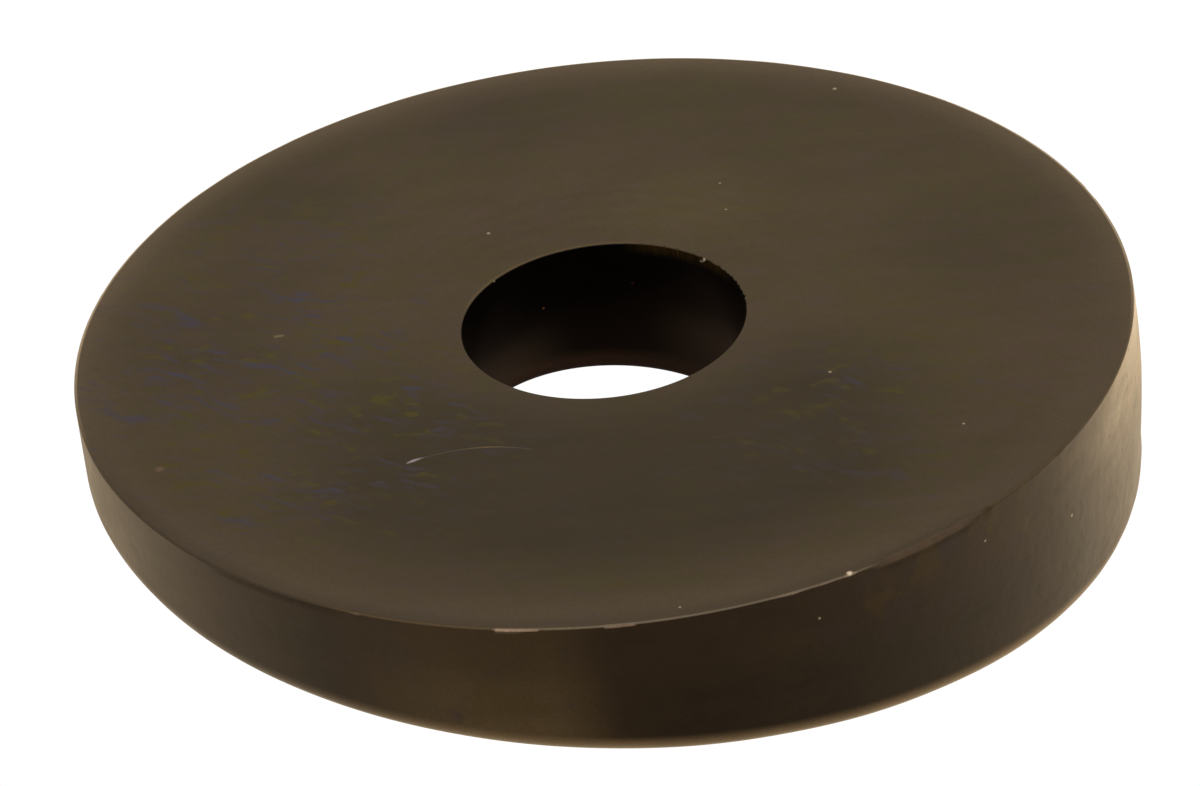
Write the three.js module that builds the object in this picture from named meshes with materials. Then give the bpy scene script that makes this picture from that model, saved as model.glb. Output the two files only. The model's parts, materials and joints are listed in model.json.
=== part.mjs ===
// A round rubber flat washer for a quarter-inch or M6 bolt.
// It is one solid ring. Its outer wall and its bore are square to the upper face, and the underside
// slopes by one in ten to them, so that the ring is thickest at +X and thinnest at -X.
// The washer lies on its underside, in the plane z = 0, with the foot of the bore's axis at the origin.
import * as THREE from "three";

// Driving dimensions, in millimetres.
const OUTER_DIAMETER = 25.4;
const BORE_DIAMETER = 6.85;
const THICKNESS = 3.72; // on the bore's axis, square to the upper face
const TAPER = 1 / 10; // growth of the thickness for each millimetre towards +X
const UPPER_EDGE_RADIUS = 0.08; // the two crisp edges of the upper face
const LOWER_EDGE_RADIUS = 0.6; // the two softer edges of the underside

// Fineness of the faceted surface.
const TURN_STEPS = 96;
const CORNER_STEPS = 4;

const RUBBER = new THREE.MeshStandardMaterial({ color: 0x2b241c, roughness: 0.45, metalness: 0 });

// Points of a quarter-circle about (x, y), turning anticlockwise from the angle start.
function corner(x, y, radius, start) {
  const arc = new THREE.EllipseCurve(x, y, radius, radius, start, start + Math.PI / 2);
  return arc.getPoints(CORNER_STEPS);
}

// The ring's section as a closed loop: x is the radius and y the height above the lower face.
function ringSection(inner, outer, height) {
  const low = LOWER_EDGE_RADIUS;
  const high = UPPER_EDGE_RADIUS;
  const loop = [
    ...corner(outer - low, low, low, -Math.PI / 2),
    ...corner(outer - high, height - high, high, 0),
    ...corner(inner + high, height - high, high, Math.PI / 2),
    ...corner(inner + low, low, low, Math.PI),
  ];
  return [...loop, loop[0].clone()];
}

// Shifts every point below mid-height along Z by the taper, which slopes the underside.
function slopeUnderside(geometry, height) {
  const points = geometry.getAttribute("position");
  for (let i = 0; i < points.count; i++) {
    const shift = points.getZ(i) < height / 2 ? -TAPER * points.getX(i) : 0;
    points.setZ(i, points.getZ(i) + shift);
  }
  geometry.computeVertexNormals();
  return geometry;
}

function washer() {
  const section = ringSection(BORE_DIAMETER / 2, OUTER_DIAMETER / 2, THICKNESS);
  const ring = new THREE.LatheGeometry(section, TURN_STEPS).rotateX(Math.PI / 2);
  const mesh = new THREE.Mesh(slopeUnderside(ring, THICKNESS), RUBBER);
  mesh.name = "washer";
  mesh.rotation.y = -Math.atan(TAPER); // lays the sloping underside down flat
  return mesh;
}

const part = new THREE.Group();
part.add(washer());

export default part;
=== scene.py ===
"""Looks of the rubber flat washer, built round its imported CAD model.

The washer's own frame, used for its mesh and its material, has the foot of the bore's axis at the
origin and Z along the bore. The row's frame has the sloping underside in the plane z = 0.
Angles round the washer are in degrees, from +X, the thick side, towards +Y, the far side.
"""

import json
import math

import bpy
import numpy as np
from mathutils import Matrix, Vector


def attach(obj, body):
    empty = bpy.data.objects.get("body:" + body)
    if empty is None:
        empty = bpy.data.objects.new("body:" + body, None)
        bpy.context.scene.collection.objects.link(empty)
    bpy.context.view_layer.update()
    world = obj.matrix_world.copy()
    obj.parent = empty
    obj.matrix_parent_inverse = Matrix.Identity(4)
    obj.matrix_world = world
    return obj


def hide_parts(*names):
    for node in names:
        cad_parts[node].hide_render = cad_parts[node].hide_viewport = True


MM = 0.001

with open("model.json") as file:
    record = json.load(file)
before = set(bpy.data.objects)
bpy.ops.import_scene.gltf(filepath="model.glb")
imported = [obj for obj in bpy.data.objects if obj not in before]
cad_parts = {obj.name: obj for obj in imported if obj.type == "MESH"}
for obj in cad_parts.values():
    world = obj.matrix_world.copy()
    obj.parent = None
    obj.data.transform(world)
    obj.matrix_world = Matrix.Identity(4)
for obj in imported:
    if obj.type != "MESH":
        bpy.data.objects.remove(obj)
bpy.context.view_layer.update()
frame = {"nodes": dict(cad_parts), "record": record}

# ------------------------------------------------------------------ sizes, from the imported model

upper_face = next(m for m in frame["record"]["mounts"] if m["name"] == "upper_face")
AXIS = Vector(upper_face["axis"]).normalized()
THICKNESS = AXIS.dot(Vector(upper_face["pos_m"]))
TAPER = -AXIS.x / AXIS.z
TO_ROW = Matrix.Rotation(-math.atan(TAPER), 4, "Y")  # from the washer's own frame to the row's

radii = [(v.co - AXIS * AXIS.dot(v.co)).length for v in frame["nodes"]["washer"].data.vertices]
BORE = min(radii)  # radius of the bore
OUTER = max(radii)  # radius of the outer wall

# ------------------------------------------------------------------ camera

CAMERA_FROM_UPPER_CENTRE = Vector((-6.858, -111.231, 68.581)) * MM
CAMERA_YAW = 3.517  # degrees, towards the thick side
CAMERA_DIP = 32.375  # degrees below the horizon
CAMERA_ROLL = 0.325  # degrees
LENS = 164.08  # mm
SENSOR = 36.0  # width in mm, as for the lens


def make_camera():
    data = bpy.data.cameras.new("camera")
    data.lens = LENS
    data.sensor_width = SENSOR
    data.clip_start = 10 * MM
    data.clip_end = 5.0
    camera = bpy.data.objects.new("camera", data)
    place = Matrix.Translation(AXIS * THICKNESS + CAMERA_FROM_UPPER_CENTRE)
    yaw = Matrix.Rotation(math.radians(-CAMERA_YAW), 4, "Z")
    dip = Matrix.Rotation(math.radians(90 - CAMERA_DIP), 4, "X")
    roll = Matrix.Rotation(math.radians(CAMERA_ROLL), 4, "Z")
    camera.matrix_world = place @ yaw @ dip @ roll
    bpy.context.scene.collection.objects.link(camera)
    bpy.context.scene.camera = camera


# ------------------------------------------------------------------ the washer's mesh

CRISP_EDGE = 0.07 * MM  # radius of the outer upper edge
CUT_EDGE = 0.02 * MM  # radius of the bore's upper edge
SOFT_EDGE = 0.60 * MM  # radius of the outer lower edge
BORE_SOFT_EDGE = 0.45 * MM  # radius of the bore's lower edge
BORE_OFFSET = (0.058 * MM, 0.040 * MM)  # how far the bore sits off the centre, along X and Y
BORE_OVAL = 0.040 * MM  # how much longer the bore's radius is along Y

# Places where the outer lower edge is sharper or softer: angle, spread in degrees, change in mm.
SOFT_EDGE_CHANGES = [(-40, 22, -0.12), (-8, 11, 0.10), (-156, 13, 0.09), (-75, 25, -0.04)]

# A gentle swelling of the outer wall at half height: angle, spread in degrees, height in mm.
WALL_SWELLING = (-7, 15, 0.09)
SWELLING_REACH = 0.3 * MM  # how far in round the lower edge the swelling goes
SWELLING_STOP = 0.09 * MM  # how far below the upper face it ends
OUT_OF_ROUND = 0.0012 * MM  # how far the outer wall strays from a circle

# Columns of the mesh: (from, to, step) in degrees, closest where the rim and the bore are worn.
COLUMN_SECTORS = [
    (-180, -138, 0.7),
    (-138, -106, 0.4),
    (-106, -86, 0.2),
    (-86, -46, 0.25),
    (-46, 0, 0.5),
    (0, 80, 0.25),
    (80, 180, 0.7),
]

# Cuts in the rim of the upper face: from and to in degrees, how far the cut reaches in over the
# face and down the wall in mm, over how many degrees it fades out, and how raw the rubber is, from
# 0 to 1.
RIM_CUTS = [
    (-119.5, -118.8, 0.06, 0.08, 0.3, 0.2),
    (-104.1, -99.8, 0.045, 0.09, 0.3, 1.0),
    (-92.9, -90.2, 0.05, 0.095, 0.8, 0.5),
    # A small cut that also carries a painted highlight line along the near rim, as raw rubber.
    (-75.0, -67.6, 0.045, 0.07, 4.0, 0.5),
    # A painted glint on the near rim, as raw rubber.
    (-68.0, -67.0, 0.06, 0.07, 0.5, 1.0),
    (-62.0, -54.0, 0.12, 0.19, 6.0, 0.12),
    (-50.9, -49.9, 0.06, 0.16, 0.4, 0.0),
    (-38.6, -37.4, 0.06, 0.08, 0.4, 0.0),
]
LEAST_CUT = 1e-6 * MM  # where a cut has faded out, so that its reach is never zero

UNDERCUT = (-135.0, -122.5)  # degrees over which the wall is nicked in just below the rim
UNDERCUT_DEPTH = 0.035 * MM
UNDERCUT_DROP = 0.08 * MM  # how far below the upper face the nick lies
UNDERCUT_WIDTH = 0.035 * MM
UNDERCUT_SKIN = 0.02 * MM  # how far inside the wall a point may lie and still be pressed in

BURR = (6.0, 74.0)  # degrees of the bore's upper edge that the cutter left ragged
BURR_HEIGHT = 0.24 * MM  # how far down the bore the teeth go
BURR_LEAST = 0.1 * MM  # height of the shortest teeth
BURR_DEPTH = 0.055 * MM  # how far out from the bore the gaps between the teeth go
BURR_REACH = 0.35 * MM  # how far over the upper face the teeth push the rubber

PITTED_WALL = (-42.0, 4.0)  # degrees over which the outer wall is slightly rough
PIT_DEPTH = 0.0018 * MM
PIT_WIDTH = 0.5 * MM
PIT_STRETCH = 2.5  # how many times longer the pits are round the wall than up it
PIT_WAVES = 24

# How the upper face rolls off at the bore and at the rim: spread and depth.
BORE_ROLL = (0.9 * MM, 0.018 * MM)
RIM_ROLL = (0.8 * MM, 0.014 * MM)
FACE_SWELL = 0.005 * MM  # height of the slight waves in the upper face
FACE_SKIN = 0.04 * MM  # how far below the upper face its edges move with it


def columns():
    """Angles of the mesh's columns, in radians."""
    spans = [np.arange(start, end - step / 4, step) for start, end, step in COLUMN_SECTORS]
    return np.radians(np.concatenate(spans))


def closer_at_ends(count):
    """Numbers from 0 up to but not including 1, closest together at both ends."""
    return (1 - np.cos(np.pi * np.arange(count) / count)) / 2


def away_from(degrees, middle):
    """How far each angle is from the middle one, the short way round, in degrees."""
    return np.abs((degrees - middle + 180) % 360 - 180)


def window(degrees, start, end, soft):
    """1 from start to end, easing to 0 over soft degrees outside."""
    away = away_from(degrees, (start + end) / 2) - (end - start) / 2
    step = np.clip(1 - away / soft, 0, 1)
    return step * step * (3 - 2 * step)


def hill(degrees, middle, spread):
    """A smooth hill of height 1 round the middle angle."""
    return np.exp(-((away_from(degrees, middle) / spread) ** 2))


def ripple(angle, seed, lowest, highest, count):
    """A seeded wave round the ring with about unit height, made of whole numbers of turns."""
    random = np.random.default_rng(seed)
    turns = random.integers(lowest, highest, count)
    phases = random.uniform(0, 2 * np.pi, count)
    waves = np.sin(turns[:, None] * angle[None, :] + phases[:, None])
    return waves.sum(0) / math.sqrt(count / 2)


def dapple(along, height):
    """A seeded, uneven surface of about unit height over the wall, drawn out round it."""
    random = np.random.default_rng(33)
    total = np.zeros(height.shape)
    for heading, phase in random.uniform(0, 2 * np.pi, (PIT_WAVES, 2)):
        pace = random.uniform(1, 3) * np.pi / PIT_WIDTH
        reach = along[:, None] * math.cos(heading) / PIT_STRETCH + height * math.sin(heading)
        total += np.sin(pace * reach + phase)
    return total / math.sqrt(PIT_WAVES / 2)


def soft_edge(angle):
    """Radius of the outer lower edge at each angle."""
    degrees = np.degrees(angle)
    radius = SOFT_EDGE * (1 + 0.012 * ripple(angle, 3, 3, 24, 9))
    for middle, spread, change in SOFT_EDGE_CHANGES:
        radius += change * MM * hill(degrees, middle, spread)
    return radius


def section(angle):
    """Radius and height of the ring's section at every angle, one row of points each, going out
    along the underside, up the wall, in over the upper face and down the bore. The last number of
    each part is how many of the row's points it has."""
    foot = soft_edge(angle)[:, None]
    brim = CRISP_EDGE * (1 + 0.05 * ripple(angle, 5, 7, 60, 14))[:, None]
    across = np.ones((len(angle), 1))
    low_edge = BORE_SOFT_EDGE * across
    off_centre = BORE_OFFSET[0] * np.cos(angle) + BORE_OFFSET[1] * np.sin(angle)
    bore = (BORE + off_centre + BORE_OVAL * np.sin(angle) ** 2)[:, None]
    slope = TAPER * np.cos(angle)[:, None]

    def straight(r0, z0, r1, z1, count):
        s = closer_at_ends(count)[None, :]
        return r0 + (r1 - r0) * s, z0 + (z1 - z0) * s

    def bend(r, z, radius, start, count):
        turn = np.radians(start + 90 * np.arange(count) / count)[None, :]
        return r + radius * np.cos(turn), z + radius * np.sin(turn)

    top = THICKNESS * across
    low_out = foot - slope * (OUTER - foot)
    low_in = low_edge - slope * (bore + low_edge)
    parts = [
        straight(bore + low_edge, low_in - low_edge, OUTER - foot, low_out - foot, 8),
        bend(OUTER - foot, low_out, foot, -90, 8),
        straight(OUTER * across, low_out, OUTER * across, top - brim, 17),
        bend(OUTER - brim, top - brim, brim, 0, 4),
        straight(OUTER - brim, top, bore + CUT_EDGE, top, 31),
        bend(bore + CUT_EDGE, top - CUT_EDGE, CUT_EDGE, 90, 3),
        straight(bore, top - CUT_EDGE, bore, low_in, 17),
        bend(bore + low_edge, low_in, low_edge, 180, 7),
    ]
    radius = np.concatenate([np.broadcast_to(r, z.shape) for r, z in parts], axis=1)
    height = np.concatenate([z for r, z in parts], axis=1)
    return radius, height


def settle_face(radius, height, angle):
    """Gives the upper face its slight hollows, and rolls it off at the rim and the bore."""
    on_top = height > THICKNESS - FACE_SKIN
    from_bore = (radius - BORE) / BORE_ROLL[0]
    from_rim = (OUTER - radius) / RIM_ROLL[0]
    roll = BORE_ROLL[1] * np.exp(-from_bore * from_bore)
    roll = roll + RIM_ROLL[1] * np.exp(-from_rim * from_rim)
    x = radius * np.cos(angle)[:, None] / OUTER
    y = radius * np.sin(angle)[:, None] / OUTER
    swell = np.sin(2.1 * x + 4.3 * y + 0.7) * np.sin(3.7 * x - 1.9 * y + 2.1)
    height -= on_top * (roll + FACE_SWELL * swell)


def cut_rim(radius, height, degrees, wear_and_glint):
    """Cuts the chips and the worn lip into the rim of the upper face, and marks where a highlight
    and a glint are painted on it as raw rubber.
    """
    for start, end, inward, down, soft, raw in RIM_CUTS:
        near = window(degrees, start, end, soft)[:, None]
        ragged = 1 + 0.06 * ripple(np.radians(degrees), 11, 20, 160, 12)[:, None]
        a = inward * MM * near * ragged + LEAST_CUT
        b = down * MM * near * ragged + LEAST_CUT
        depth = (1 - (OUTER - radius) / a - (THICKNESS - height) / b).clip(0, 1)
        radius -= a * depth / 2
        height -= b * depth / 2
        wear_and_glint += raw * near * (3 * depth).clip(0, 1)


def nick_wall(radius, height, degrees):
    """Presses in the wall just below the rim, which leaves a dark line there."""
    near = window(degrees, *UNDERCUT, 3)[:, None]
    fall = (THICKNESS - height - UNDERCUT_DROP) / UNDERCUT_WIDTH
    on_wall = radius > OUTER - UNDERCUT_SKIN
    radius -= on_wall * near * UNDERCUT_DEPTH * np.exp(-fall * fall)


def fray_bore(radius, height, degrees):
    """Leaves fine ragged teeth along the bore's upper edge."""
    angle = np.radians(degrees)
    near = window(degrees, *BURR, 8)
    tooth = ripple(angle, 21, 40, 120, 12).clip(-0.2, 1.3) * near
    tall = BURR_HEIGHT * (0.75 + 0.25 * ripple(angle, 22, 20, 160, 10))
    drop = (THICKNESS - height) / np.maximum(tall, BURR_LEAST)[:, None]
    inward = (1 - (radius - BORE) / BURR_REACH).clip(0, 1)
    shape = inward * inward * (1 - drop.clip(0, 1)) ** 0.5 * tooth[:, None]
    radius += shape * BURR_DEPTH


def swell_wall(radius, height, degrees):
    """Swells the outer wall out at half height, and roughens it slightly on the thick side."""
    angle = np.radians(degrees)
    middle, spread, rise = WALL_SWELLING
    up = (height / THICKNESS).clip(0, 1)
    on_wall = (radius > OUTER - SWELLING_REACH) & (height < THICKNESS - SWELLING_STOP)
    swelling = rise * MM * hill(degrees, middle, spread)[:, None] * np.sin(np.pi * up)
    stray = OUT_OF_ROUND * ripple(angle, 31, 2, 9, 6)[:, None]
    pitted = window(degrees, *PITTED_WALL, 10)[:, None] * PIT_DEPTH * dapple(OUTER * angle, height)
    radius += on_wall * (swelling + stray + pitted)


def washer_mesh():
    """The worn washer as one closed mesh, with how raw the rubber is at each point, which also
    carries a painted highlight and glint on the near rim.
    """
    angle = columns()
    degrees = np.degrees(angle)
    radius, height = section(angle)
    wear_and_glint = np.zeros(radius.shape)
    swell_wall(radius, height, degrees)
    settle_face(radius, height, angle)
    cut_rim(radius, height, degrees, wear_and_glint)
    nick_wall(radius, height, degrees)
    fray_bore(radius, height, degrees)

    turn, rows = radius.shape
    points = np.stack(
        [radius * np.cos(angle)[:, None], radius * np.sin(angle)[:, None], height], axis=-1
    )
    i, j = np.meshgrid(np.arange(turn), np.arange(rows), indexing="ij")
    next_i, next_j = (i + 1) % turn, (j + 1) % rows
    quads = np.stack(
        [i * rows + j, next_i * rows + j, next_i * rows + next_j, i * rows + next_j], axis=-1
    )
    mesh = bpy.data.meshes.new("washer_body")
    mesh.from_pydata(points.reshape(-1, 3).tolist(), [], quads.reshape(-1, 4).tolist())
    mesh.transform(TO_ROW)
    mesh.shade_smooth()
    mesh.attributes.new("wear_and_glint", "FLOAT", "POINT").data.foreach_set("value", wear_and_glint.clip(0, 1).ravel())
    mesh.update()
    return mesh


def make_washer(material):
    body = bpy.data.objects.new("washer_body", washer_mesh())
    body.data.materials.append(material)
    bpy.context.scene.collection.objects.link(body)
    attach(body, "root")
    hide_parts("washer")


# ------------------------------------------------------------------ fields over a surface

SEED_STEP = 7.3  # how far apart two seeds lie along the noise's fourth axis


def feed(tree, socket, value):
    """Gives an input its value: a field's output, or a number or colour."""
    if isinstance(value, Field):
        tree.links.new(value.socket, socket)
    else:
        socket.default_value = value


class Field:
    """A number, point or colour that varies over the surface: one output in a node tree."""

    def __init__(self, tree, socket):
        self.tree = tree
        self.socket = socket

    def node(self, kind, inputs, output=0, **settings):
        """Adds a node to the same tree, feeds its named or numbered inputs, and gives one output."""
        made = self.tree.nodes.new("ShaderNode" + kind)
        for name, value in settings.items():
            setattr(made, name, value)
        for key, value in inputs.items():
            feed(self.tree, made.inputs[key], value)
        return Field(self.tree, made.outputs[output])

    def math(self, operation, other=0.0):
        return self.node("Math", {0: self, 1: other}, operation=operation)

    def __add__(self, other):
        return self.math("ADD", other)

    def __sub__(self, other):
        return self.math("SUBTRACT", other)

    def __mul__(self, other):
        return self.math("MULTIPLY", other)

    def __rsub__(self, other):
        return self.node("Math", {0: other, 1: self}, operation="SUBTRACT")

    __radd__ = __add__
    __rmul__ = __mul__

    def ease(self, low, high):
        """0 where the field is low and 1 where it is high, smooth between; low may be the larger."""
        inputs = {"Value": self, "From Min": low, "From Max": high}
        return self.node("MapRange", inputs, interpolation_type="SMOOTHSTEP")

    def between(self, low, high, soft):
        """1 from low to high, easing to 0 over soft outside."""
        return self.ease(low - soft, low) * self.ease(high + soft, high)

    def near(self, middle, spread):
        """1 at the middle, easing to 0 at the spread on both sides."""
        return (self - middle).math("ABSOLUTE").ease(spread, 0.0)

    def parts(self):
        """The x, y and z of a point."""
        split = self.node("SeparateXYZ", {0: self})
        return [Field(self.tree, socket) for socket in split.socket.node.outputs]

    def moved(self, degrees, length):
        """A point changed so that what is patterned by it is drawn out to length times along X, and
        then turned by degrees about Z."""
        turn = (0.0, 0.0, math.radians(degrees))
        inputs = {"Vector": self, "Rotation": turn, "Scale": (length, 1.0, 1.0)}
        return self.node("Mapping", inputs, vector_type="TEXTURE")

    def noise(self, scale, seed, detail=2.0, rough=0.5):
        """Soft clouds round 0.5, with about scale of them to one outer radius."""
        inputs = {
            "Vector": self,
            "W": seed * SEED_STEP,
            "Scale": scale,
            "Detail": detail,
            "Roughness": rough,
        }
        return self.node("TexNoise", inputs, noise_dimensions="4D")

    def bent(self, scale, seed, amount):
        """A point shifted about by soft clouds, which makes straight streaks wavy."""
        inputs = {"Vector": self, "W": seed * SEED_STEP, "Scale": scale}
        clouds = self.node("TexNoise", inputs, output=1, noise_dimensions="4D")
        shift = clouds.node("VectorMath", {0: clouds, 1: (0.5, 0.5, 0.5)}, operation="SUBTRACT")
        return self.node("VectorMath", {0: self, 1: shift.lit(amount)}, operation="ADD")

    def spot(self, place, spread, core=0.0):
        """1 within core of a place, easing to 0 at the spread from it."""
        gap = self.node("VectorMath", {0: self, 1: place}, output=1, operation="DISTANCE")
        return gap.ease(spread, core)

    def plain(self, colour):
        """One colour all over, in the same tree."""
        made = self.tree.nodes.new("ShaderNodeRGB")
        made.outputs[0].default_value = colour
        return Field(self.tree, made.outputs[0])

    def paint(self, colour, amount):
        """This colour, painted over with another by an amount from 0 to 1."""
        inputs = {0: amount, 6: self, 7: colour}
        return self.node("Mix", inputs, output=2, data_type="RGBA", clamp_factor=True)

    def lit(self, amount):
        """This colour times a number."""
        return self.node("VectorMath", {0: self, "Scale": amount}, operation="SCALE")


# ------------------------------------------------------------------ the rubber

TOP = THICKNESS / OUTER  # the material's lengths are in outer radii of the washer
HOLE = BORE / OUTER
RUBBER_IOR = 1.42
SATIN = 0.30  # roughness of the rubber, before its marks
RELIEF = 0.004 * MM  # height that one unit of the finest relief stands for

FACE_OLIVE = (0.041, 0.0375, 0.0135, 1)
RIM_GREY = (0.045, 0.0375, 0.0320, 1)
FACE_PLUM = (0.047, 0.0355, 0.0330, 1)
WALL_BROWN = (0.026, 0.0165, 0.0095, 1)
UNDERSIDE_BROWN = (0.036, 0.025, 0.015, 1)
BORE_BLACK = (0.016, 0.0105, 0.0085, 1)
BORE_EDGE_HIGHLIGHT = (0.110, 0.062, 0.048, 1)
BORE_REFLECTION = (0.095, 0.076, 0.060, 1)
FIBRE_BROWN = (0.040, 0.026, 0.006, 1)
PIT_BROWN = (0.030, 0.021, 0.008, 1)
WISP_BLUE = (0.025, 0.030, 0.092, 1)
WALL_OCHRE = (0.062, 0.042, 0.006, 1)
WALL_VIOLET = (0.034, 0.024, 0.048, 1)
REFLECTION_TAN = (0.090, 0.069, 0.038, 1)
FOOT_HIGHLIGHT_TAN = (0.250, 0.185, 0.112, 1)
HIGHLIGHT_GREY = (0.20, 0.185, 0.165, 1)
PATCH_OLIVE = (0.042, 0.040, 0.001, 1)
RAW_RUBBER_AND_GLINT = (0.44, 0.36, 0.34, 1)
GOLDEN_TINT_AND_HIGHLIGHT = (0.20, 0.145, 0.065, 1)
DUST_AND_GLARE_TAN = (0.44, 0.395, 0.330, 1)
GLARE = (0.85, 0.81, 0.76, 1)
PALE_DUST_AND_GLINT = (0.45, 0.42, 0.38, 1)
STRAW_DUST = (0.15, 0.15, 0.095, 1)
ORANGE_DUST = (0.60, 0.28, 0.10, 1)
PINK_DUST = (0.12, 0.085, 0.075, 1)
RED_DUST = (0.10, 0.03, 0.03, 1)
GLINT_WHITE = (0.95, 0.95, 0.92, 1)

# Specks of dust on the upper face, and a painted glint on the near rim: x, y and radius in outer
# radii, and colour.
FACE_SPECKS = [
    (0.260, 0.455, 0.0026, PALE_DUST_AND_GLINT),
    (0.264, 0.353, 0.0024, PALE_DUST_AND_GLINT),
    (0.408, -0.270, 0.0034, PALE_DUST_AND_GLINT),
    (-0.616, 0.070, 0.0050, STRAW_DUST),
    (-0.609, 0.0705, 0.0050, STRAW_DUST),
    (-0.603, 0.071, 0.0034, STRAW_DUST),
    (-0.199, 0.363, 0.0038, PALE_DUST_AND_GLINT),
    (0.516, 0.775, 0.0042, PALE_DUST_AND_GLINT),
    (0.630, -0.492, 0.0028, PALE_DUST_AND_GLINT),
    (0.080, -0.968, 0.0026, PALE_DUST_AND_GLINT),
    (0.381, -0.921, 0.0056, GLINT_WHITE),
    (-0.834, -0.345, 0.0090, PINK_DUST),
]

# Broad lighter and darker places on the upper face: x, y, spread in outer radii, change of level.
SMUDGES = [
    (-0.60, 0.60, 0.24, -0.26),
    (-0.75, 0.00, 0.22, -0.24),
    (0.73, 0.12, 0.28, -0.34),
    (0.20, 0.38, 0.24, 0.32),
    (-0.43, 0.28, 0.32, 0.16),
    (-0.86, 0.33, 0.20, 0.16),
    (-0.16, 0.82, 0.26, -0.14),
    (0.82, -0.38, 0.22, 0.10),
    (-0.52, -0.35, 0.26, 0.12),
]

# Specks on the walls: degrees, height in mm, radius in outer radii, and colour.
OUTER_SPECKS = [
    (-50.8, 2.88, 0.0028, PALE_DUST_AND_GLINT),
    (-36.3, 1.72, 0.0038, PALE_DUST_AND_GLINT),
    (-71.3, 2.81, 0.0028, PALE_DUST_AND_GLINT),
    (-50.0, 3.10, 0.0090, PATCH_OLIVE),
]
BORE_SPECKS = [
    (114.5, 2.26, 0.0034, ORANGE_DUST),
    (76.6, 2.56, 0.0040, RED_DUST),
    # Painted glints on a fibre at the bore's upper edge.
    (41.2, 3.67, 0.0034, GLINT_WHITE),
    (42.3, 3.62, 0.0034, GLINT_WHITE),
    (43.4, 3.57, 0.0034, GLINT_WHITE),
    # A painted glint on the bore's left edge, in the pale dust colour.
    (137.5, 3.69, 0.0030, PALE_DUST_AND_GLINT),
    (66.0, 3.68, 0.0028, ORANGE_DUST),
    (61.0, 3.67, 0.0022, ORANGE_DUST),
]

WALL_STRETCH = 0.4  # the marks on the wall are longer round it than they are tall

SCRATCH_CENTRE = (-3.37, -8.44)  # mm, of the arc that the long scratch follows
SCRATCH_RADIUS = 3.46
SCRATCH_FROM = -4.80  # mm along X
SCRATCH_TO = -1.98
SCRATCH_BLUE = (0.34, 0.33, 0.50, 1)
SCRATCH_TAN = (0.34, 0.25, 0.17, 1)


def face_colour(place, x, y, r, angle):
    """The upper face: soft clouds between olive and plum, smears, wisps, painted shade in front of
    the bore, and painted light behind it and round the rim.
    """
    fine = place.bent(9, 24, 0.06).moved(degrees=-14, length=2.2)
    blotches = fine.noise(30, 1, detail=3, rough=0.6).ease(0.36, 0.64)
    shift = place.noise(3.5, 8, detail=2).ease(0.35, 0.65)
    colour = place.plain(FACE_OLIVE).paint(FACE_PLUM, 0.6 * blotches + 0.4 * shift)

    smears = place.moved(degrees=34, length=4).noise(8, 2, detail=3) - 0.5
    streaks = place.moved(degrees=-4, length=6).noise(20, 3, detail=3) - 0.5
    drift = place.noise(1.7, 4, detail=2) - 0.5
    back_left = place.spot((-0.45, 0.45, TOP), 0.9)
    arcs = (r * 130 + drift * 9).math("SINE")
    arcs = arcs * r.between(0.36, 0.46, 0.05) * angle.between(60, 120, 30)

    # Painted shade in front of the bore, and painted light behind it.
    front = y.ease(0.02, -0.34) * x.between(-0.44, 0.36, 0.32) * r.between(0.40, 0.72, 0.24)
    light_behind_hole = place.spot((-0.02, 0.42, TOP), 0.42) + 0.6 * place.spot((0.5, 0.1, TOP), 0.5)
    level = (
        1.0
        + 0.55 * smears * back_left
        + 0.36 * streaks
        + 0.45 * drift
        + 0.06 * arcs
        - 0.56 * front
        + 0.16 * light_behind_hole
        - 0.12 * y.ease(-0.1, 0.3)  # the far half
        - 0.12 * y.ease(0.55, 0.8) * r.ease(0.93, 0.88)  # its far end, short of the rim
        + 0.20 * r.ease(0.88, 0.97)  # painted light all round the rim
        + 0.30 * r.ease(0.965, 0.995) * y.ease(-0.5, 0.0)  # painted light on the rim's edge, but not in front
        - 0.30 * r.ease(0.960, 0.990) * y.ease(-0.1, -0.5) * x.ease(0.75, 0.45)  # its front edge
        + 0.60 * y.ease(-0.2, 0.4) * r.ease(0.93, 0.99)  # painted light on the far rim
    )
    loose = place.bent(4, 29, 0.15)
    for smudge_x, smudge_y, spread, change in SMUDGES:
        level = level + change * loose.spot((smudge_x, smudge_y, TOP), spread)
    colour = colour.paint(RIM_GREY, 0.75 * r.ease(0.87, 0.97)).lit(level)

    left = place.spot((-0.66, -0.24, TOP), 0.62, 0.20)
    far_left = place.spot((-0.60, 0.28, TOP), 0.45, 0.05)
    right = place.spot((0.50, -0.42, TOP), 0.45, 0.05)
    wavy = place.bent(7, 25, 0.10)
    wisps = wavy.moved(degrees=-30, length=6).noise(60, 5, detail=0).ease(0.58, 0.76)
    faint = wavy.moved(degrees=-24, length=4).noise(80, 6, detail=0).ease(0.56, 0.76)
    groups = place.noise(6, 27, detail=1).ease(0.40, 0.56)
    stains = wavy.moved(degrees=-26, length=2.2).noise(44, 7, detail=1).ease(0.57, 0.74)
    stains = stains * r.ease(0.96, 0.88)
    colour = colour.paint(PATCH_OLIVE, stains * (1.0 * left + 0.8 * far_left + 0.7 * right + 0.15))
    both = (wisps + 0.5 * faint) * (0.15 + 0.85 * groups)
    return colour.paint(WISP_BLUE, both * (0.60 * left + 0.55 * far_left + 0.36 * right + 0.08))


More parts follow.
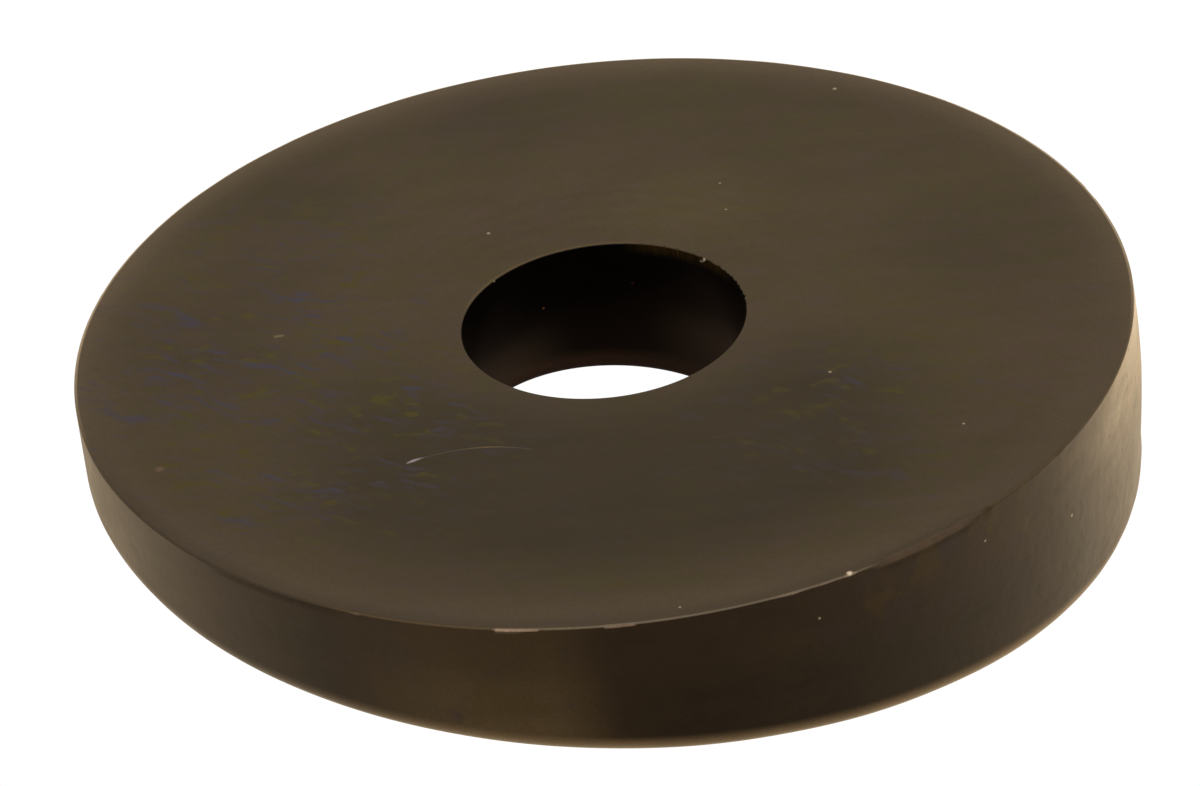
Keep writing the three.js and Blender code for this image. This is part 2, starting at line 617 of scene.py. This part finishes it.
def scratch(colour, place, x, r):
    """The long curved scratch: a bluish head, a thin middle and a warm tail."""
    centre = (SCRATCH_CENTRE[0] * MM / OUTER, SCRATCH_CENTRE[1] * MM / OUTER, TOP)
    start, end = SCRATCH_FROM * MM / OUTER, SCRATCH_TO * MM / OUTER
    gap = place.node("VectorMath", {0: place, 1: centre}, output=1, operation="DISTANCE")
    head = x.near(start + 0.010, 0.025)
    tail = x.near(end - 0.08, 0.07)
    width = 0.0020 + 0.0034 * head + 0.0009 * tail
    line = (gap - SCRATCH_RADIUS * MM / OUTER).math("ABSOLUTE").math("DIVIDE", width).ease(1.0, 0.3)
    line = line * x.between(start, end, 0.006) * r.ease(0.66, 0.60)
    tone = place.plain(SCRATCH_BLUE).paint(SCRATCH_TAN, x.ease(start + 0.02, end - 0.10))
    return colour.paint(tone, line * (0.07 + 0.83 * head + 0.20 * tail)), line


def wall_colour(place, angle, height, lift):
    """The outer wall: brown, with painted shade low at the front right and at the front left, a
    painted reflection in front, tan dust mixed with painted glare on the thick side and on the left,
    and a painted highlight along the lower edge. lift is the height above the underside."""
    inputs = {"Vector": place, "Scale": (WALL_STRETCH, WALL_STRETCH, 1.0)}
    drawn_out = place.node("Mapping", inputs, vector_type="POINT")
    mottle = drawn_out.noise(34, 11, detail=4, rough=0.62)
    coarse = place.noise(9, 12, detail=3)
    clouds = drawn_out.noise(15, 23, detail=3)
    low_right = angle.between(-84, -34, 12) * height.ease(0.22, 0.08)
    shaded = 0.34 * low_right + 0.25 * angle.near(-130, 16)
    colour = place.plain(WALL_BROWN).lit(0.52 + 0.60 * mottle + 0.40 * coarse - shaded)

    low = height.ease(0.27, 0.06)
    # A painted reflection in front, stronger low down.
    painted_reflection = angle.ease(-123, -108) * angle.ease(-91.5, -100.0) * (0.38 + 0.62 * low)
    haze = place.moved(degrees=-20, length=4).noise(16, 21, detail=2)
    colour = colour.paint(REFLECTION_TAN, painted_reflection * (0.60 + 0.6 * haze))

    stained = painted_reflection + 0.7 * angle.between(-66, -36, 16) * height.ease(0.08, 0.22)
    ochre = place.bent(6, 33, 0.15).noise(13, 31, detail=2).ease(0.52, 0.66)
    violet = place.bent(6, 34, 0.15).noise(16, 32, detail=2).ease(0.54, 0.68)
    colour = colour.paint(WALL_OCHRE, 0.45 * ochre * stained)
    colour = colour.paint(WALL_VIOLET, 0.50 * violet * stained)

    # Tan dust mixed with painted glare on the thick side, and a little on the left side; painted
    # glare along the thick side's top.
    right_side = angle.ease(-66, -14) * angle.ease(60, 20)
    left_side = angle.ease(-138, -165) + angle.ease(140, 170)
    high = height.ease(0.05, 0.27)
    uneven = 1.2 * mottle + 1.6 * clouds - 0.40
    dust_and_glare = 0.03 + 1.40 * high * angle.ease(-42, -4) + 0.12 * angle.ease(-38, -12)
    colour = colour.paint(DUST_AND_GLARE_TAN, right_side * dust_and_glare * uneven + 0.12 * left_side * uneven)
    bright_top = angle.ease(-24, -6) * angle.ease(60, 20) * height.ease(TOP - 0.080, TOP - 0.010)
    colour = colour.paint(GLARE, 0.85 * bright_top)
    pits = place.noise(48, 13, detail=2).ease(0.64, 0.72) * (right_side + left_side)
    colour = colour.paint(PIT_BROWN, 0.55 * pits)
    # A painted highlight along the lower edge, mostly in front and on the near left.
    foot_highlight = lift.ease(0.050, 0.023) * (0.60 + 0.5 * coarse)
    front = (angle.ease(-140, -95) + 0.18 * angle.ease(-75, -55)) * angle.ease(70, 20)
    return colour.paint(FOOT_HIGHLIGHT_TAN, foot_highlight * (0.05 + 0.95 * front))


def bore_colour(place, x, angle, height, lift):
    """The bore: black at the top, with painted light and painted reflections low down, a painted
    highlight along its lower edge, and ragged brown fibres under the burr.
    """
    # Painted light low down, and low on the thick side.
    right = angle.near(25, 65) * height.ease(0.27, 0.15)
    level = 0.02 + 0.5 * height.ease(0.22, 0.08) + 0.5 * right
    colour = place.plain(BORE_BLACK).lit(level)
    # Painted reflections low on both sides.
    reflection_left = x.ease(-0.15 * HOLE, -0.90 * HOLE) * height.ease(0.17, 0.06)
    reflection_right = x.ease(0.25 * HOLE, 0.95 * HOLE) * height.ease(0.18, 0.10)
    colour = colour.paint(BORE_REFLECTION, 0.90 * reflection_left + 0.45 * reflection_right)
    # A painted highlight along the lower edge.
    edge = lift.ease(0.065, 0.020) * (0.40 + 0.3 * x.ease(0.77 * HOLE, -0.87 * HOLE))
    colour = colour.paint(BORE_EDGE_HIGHLIGHT, edge)
    lines = place.node("CombineXYZ", {0: angle * 1.05, 1: height * 14})
    fibres = lines.noise(1.0, 14, detail=2).ease(0.35, 0.75)
    band = height.ease(TOP - 0.030, TOP - 0.008) * angle.between(34, 66, 14)
    return colour.paint(FIBRE_BROWN, band * (0.4 + 0.6 * fibres))


def rim_line(colour, y, height, r, from_bore, angle, on_face):
    """A painted reflection along the far rim, and a hairline along the near rim and the bore that is
    golden tint with painted highlight, with a pale painted highlight at the front.
    """
    # A painted reflection along the far rim.
    brim = r.ease(0.9925, 0.9960) * height.ease(TOP - 0.009, TOP - 0.006)
    colour = colour.paint(DUST_AND_GLARE_TAN, 0.85 * brim * y.ease(-0.3, 0.2))
    # A hairline of golden tint and painted highlight along the near rim, and a pale painted
    # highlight at its front.
    golden = 0.05 + 0.20 * angle.between(-122, -97, 5) + 0.12 * angle.between(-48, 20, 5)
    grey = 0.45 * angle.between(-98, -66, 6)
    edge = r.ease(0.9945, 0.9985) * on_face * angle.ease(-130, -120)
    colour = colour.paint(GOLDEN_TINT_AND_HIGHLIGHT, edge * golden)
    colour = colour.paint(HIGHLIGHT_GREY, edge * grey)
    bore_edge = from_bore.near(0.0045, 0.0035) * angle.between(85, 150, 20)
    return colour.paint(GOLDEN_TINT_AND_HIGHLIGHT, bore_edge * on_face * 0.35)


def speck_wall(colour, place, specks, radius, centre):
    """Paints the specks that lie on one round wall, of that radius about that centre."""
    for degrees, up, size, tone in specks:
        speck_x = centre[0] + radius * math.cos(math.radians(degrees))
        speck_y = centre[1] + radius * math.sin(math.radians(degrees))
        mark = place.spot((speck_x, speck_y, up * MM / OUTER), size * 1.3, size * 0.4)
        colour = colour.paint(tone, 0.8 * mark)
    return colour


def rubber():
    """The washer's one material: face, wall, bore and underside, each with its own marks."""
    material = bpy.data.materials.new("rubber")
    material.use_nodes = True
    tree = material.node_tree
    shader = tree.nodes["Principled BSDF"]
    shader.inputs["IOR"].default_value = RUBBER_IOR

    coordinates = tree.nodes.new("ShaderNodeTexCoord")
    in_row = Field(tree, coordinates.outputs["Object"])
    to_own_frame = (0.0, math.atan(TAPER), 0.0)
    to_radii = (1 / OUTER, 1 / OUTER, 1 / OUTER)
    inputs = {"Vector": in_row, "Rotation": to_own_frame, "Scale": to_radii}
    place = in_row.node("Mapping", inputs, vector_type="POINT")
    x, y, height = place.parts()
    r = (x * x + y * y).math("SQRT")
    angle = y.math("ARCTAN2", x).math("DEGREES")
    bore_x = x - BORE_OFFSET[0] / OUTER
    bore_y = (y - BORE_OFFSET[1] / OUTER) * (BORE / (BORE + BORE_OVAL))
    from_bore = (bore_x * bore_x + bore_y * bore_y).math("SQRT") - HOLE

    on_face = height.ease(TOP - 0.0055, TOP - 0.0025) * from_bore.ease(0.0003, 0.0018)
    face = face_colour(place, x, y, r, angle)
    face, line = scratch(face, place, x, r)
    wall = wall_colour(place, angle, height, height + TAPER * x)
    under = r.ease(0.965, 0.950)
    colour = wall.paint(UNDERSIDE_BROWN, under)
    bore = bore_colour(place, x, angle, height, height + TAPER * x)
    colour = colour.paint(bore, from_bore.ease(0.05, 0.03))
    colour = colour.paint(face, on_face)

    colour = rim_line(colour, y, height, r, from_bore, angle, on_face)
    # Raw rubber where the rim is chipped and worn, and a painted highlight and glint on the near
    # rim.
    worn = place.node("Attribute", {}, output=2, attribute_name="wear_and_glint")
    colour = colour.paint(RAW_RUBBER_AND_GLINT, worn * (0.55 + 0.7 * place.noise(70, 15)))

    for speck_x, speck_y, size, tone in FACE_SPECKS:
        mark = place.spot((speck_x, speck_y, TOP), size * 1.4, size * 0.3)
        colour = colour.paint(tone, 0.8 * mark)
    bore_centre = (BORE_OFFSET[0] / OUTER, BORE_OFFSET[1] / OUTER)
    colour = speck_wall(colour, place, OUTER_SPECKS, 1.0, (0.0, 0.0))
    colour = speck_wall(colour, place, BORE_SPECKS, HOLE, bore_centre)

    grain = place.noise(190, 16, detail=2)
    colour = colour.lit(0.70 + 0.60 * grain)
    feed(tree, shader.inputs["Base Color"], colour)

    dull = place.moved(degrees=30, length=4).noise(12, 17, detail=3)
    side = 1.0 - on_face
    thick_side = angle.ease(-50, -10) * angle.ease(60, 20)
    scuffed = thick_side + angle.ease(-150, -175) + angle.ease(150, 175)
    dusty = side * r.ease(0.9, 0.95) * scuffed
    roughness = SATIN + 0.14 * dull - 0.06 * side + 0.06 * place.noise(60, 18) + 0.07 * dusty
    feed(tree, shader.inputs["Roughness"], roughness)

    relief = 0.25 * grain + 0.5 * place.noise(55, 19, detail=3)
    relief = relief + side * (1.6 + 3.4 * dusty) * place.noise(42, 20, detail=3)
    bump = tree.nodes.new("ShaderNodeBump")
    bump.inputs["Distance"].default_value = RELIEF
    feed(tree, bump.inputs["Height"], relief - 1.2 * line)
    tree.links.new(bump.outputs["Normal"], shader.inputs["Normal"])
    return material


# ------------------------------------------------------------------ studio

WHITE = 1.05  # the floor, bright enough to reach the picture's white
FLOOR_SIZE = 4.0  # m
FLOOR_DROP = 0.02 * MM  # gap between the washer's underside and the floor
SKY_TINT = (1.27, 1.0, 0.67)
SKY_UP = 0.50  # brightness of the upper half of the surrounding light
SKY_DOWN = 0.67  # brightness of the lower half, before the four changes that follow
DOWN_BACK = 0.48  # how much brighter it gets towards the far side
DOWN_RIGHT = 0.58  # how much brighter it gets towards the far side and the thick side together
DOWN_FRONT = 0.09  # how much dimmer it is on the near side
NADIR = 0.1  # how much dimmer it is straight below
DIMMEST = 0.08  # the least that the lower half gives in any direction

LAMP_PLACE = Vector((0, -120, 260)) * MM
LAMP_SIZE = (160 * MM, 120 * MM)
LAMP_POWER = 0.22  # watts
LAMP_COLOUR = (1.0, 0.86, 0.68)

SHADE_DROP = 0.4 * MM  # how far the shade under the bore lies below the washer
SHADE_BLACK = (0.02, 0.014, 0.01, 1)
SHADE_GLOW = 0.10  # how brightly the shade glows at its far edge
SHADE_GLOW_COLOUR = (1.0, 0.68, 0.52, 1)


def make_floor():
    """A plain white floor, which neither throws light on the washer nor shows in its gloss."""
    bpy.ops.mesh.primitive_plane_add(size=FLOOR_SIZE, location=(0, 0, -FLOOR_DROP))
    floor = bpy.context.object
    floor.name = "floor"
    floor.visible_glossy = False
    floor.visible_diffuse = False
    material = bpy.data.materials.new("floor")
    material.use_nodes = True
    shader = material.node_tree.nodes["Principled BSDF"]
    shader.inputs["Base Color"].default_value = (0, 0, 0, 1)
    shader.inputs["Roughness"].default_value = 1.0
    shader.inputs["Specular IOR Level"].default_value = 0.0
    shader.inputs["Emission Color"].default_value = (1, 1, 1, 1)
    shader.inputs["Emission Strength"].default_value = WHITE
    floor.data.materials.append(material)


def make_bore_shade():
    """A dark disc under the bore, hidden from the camera, which keeps the bore dark inside."""
    bpy.ops.mesh.primitive_circle_add(
        vertices=48, radius=BORE + 2 * SOFT_EDGE, fill_type="NGON", location=(0, 0, -SHADE_DROP)
    )
    shade = bpy.context.object
    shade.name = "bore_shade"
    shade.visible_camera = False
    material = bpy.data.materials.new("bore_shade")
    material.use_nodes = True
    tree = material.node_tree
    shader = tree.nodes["Principled BSDF"]
    shader.inputs["Base Color"].default_value = SHADE_BLACK
    shader.inputs["Roughness"].default_value = 1.0
    shader.inputs["Specular IOR Level"].default_value = 0.0
    shader.inputs["Emission Color"].default_value = SHADE_GLOW_COLOUR
    coordinates = tree.nodes.new("ShaderNodeTexCoord")
    y = Field(tree, coordinates.outputs["Object"]).parts()[1]
    feed(tree, shader.inputs["Emission Strength"], SHADE_GLOW * y.ease(0.0, BORE))
    shade.data.materials.append(material)


def make_world():
    """Soft light all round, dimmer on the near side and brighter on the far side. The camera sees
    plain white past the floor."""
    world = bpy.data.worlds.new("studio")
    world.use_nodes = True
    tree = world.node_tree
    coordinates = tree.nodes.new("ShaderNodeTexCoord")
    x, y, z = Field(tree, coordinates.outputs["Generated"]).parts()
    down = SKY_DOWN + DOWN_BACK * y + DOWN_RIGHT * x * y.ease(0.1, 0.8)
    down = down - DOWN_FRONT * y.ease(-0.1, -0.8) - NADIR * z.ease(-0.5, -0.9)
    blend = z.ease(-0.25, 0.35)
    level = down.math("MAXIMUM", DIMMEST) * (1.0 - blend) + SKY_UP * blend
    background = tree.nodes["Background"]
    background.inputs["Color"].default_value = (*SKY_TINT, 1)
    feed(tree, background.inputs["Strength"], level)
    white = tree.nodes.new("ShaderNodeBackground")
    white.inputs["Strength"].default_value = WHITE
    seen = tree.nodes.new("ShaderNodeLightPath")
    mix = tree.nodes.new("ShaderNodeMixShader")
    tree.links.new(seen.outputs["Is Camera Ray"], mix.inputs[0])
    tree.links.new(background.outputs[0], mix.inputs[1])
    tree.links.new(white.outputs[0], mix.inputs[2])
    tree.links.new(mix.outputs[0], tree.nodes["World Output"].inputs["Surface"])
    bpy.context.scene.world = world
    bpy.context.scene.view_settings.view_transform = "Standard"


def make_lamp():
    """A wide soft lamp overhead, aimed at the foot of the bore's axis."""
    data = bpy.data.lights.new("overhead", "AREA")
    data.shape = "RECTANGLE"
    data.size, data.size_y = LAMP_SIZE
    data.energy = LAMP_POWER
    data.color = LAMP_COLOUR
    lamp = bpy.data.objects.new("overhead", data)
    lamp.location = LAMP_PLACE
    lamp.rotation_euler = (-LAMP_PLACE).to_track_quat("-Z", "Y").to_euler()
    bpy.context.scene.collection.objects.link(lamp)


make_camera()
make_washer(rubber())
make_floor()
make_bore_shade()
make_world()
make_lamp()
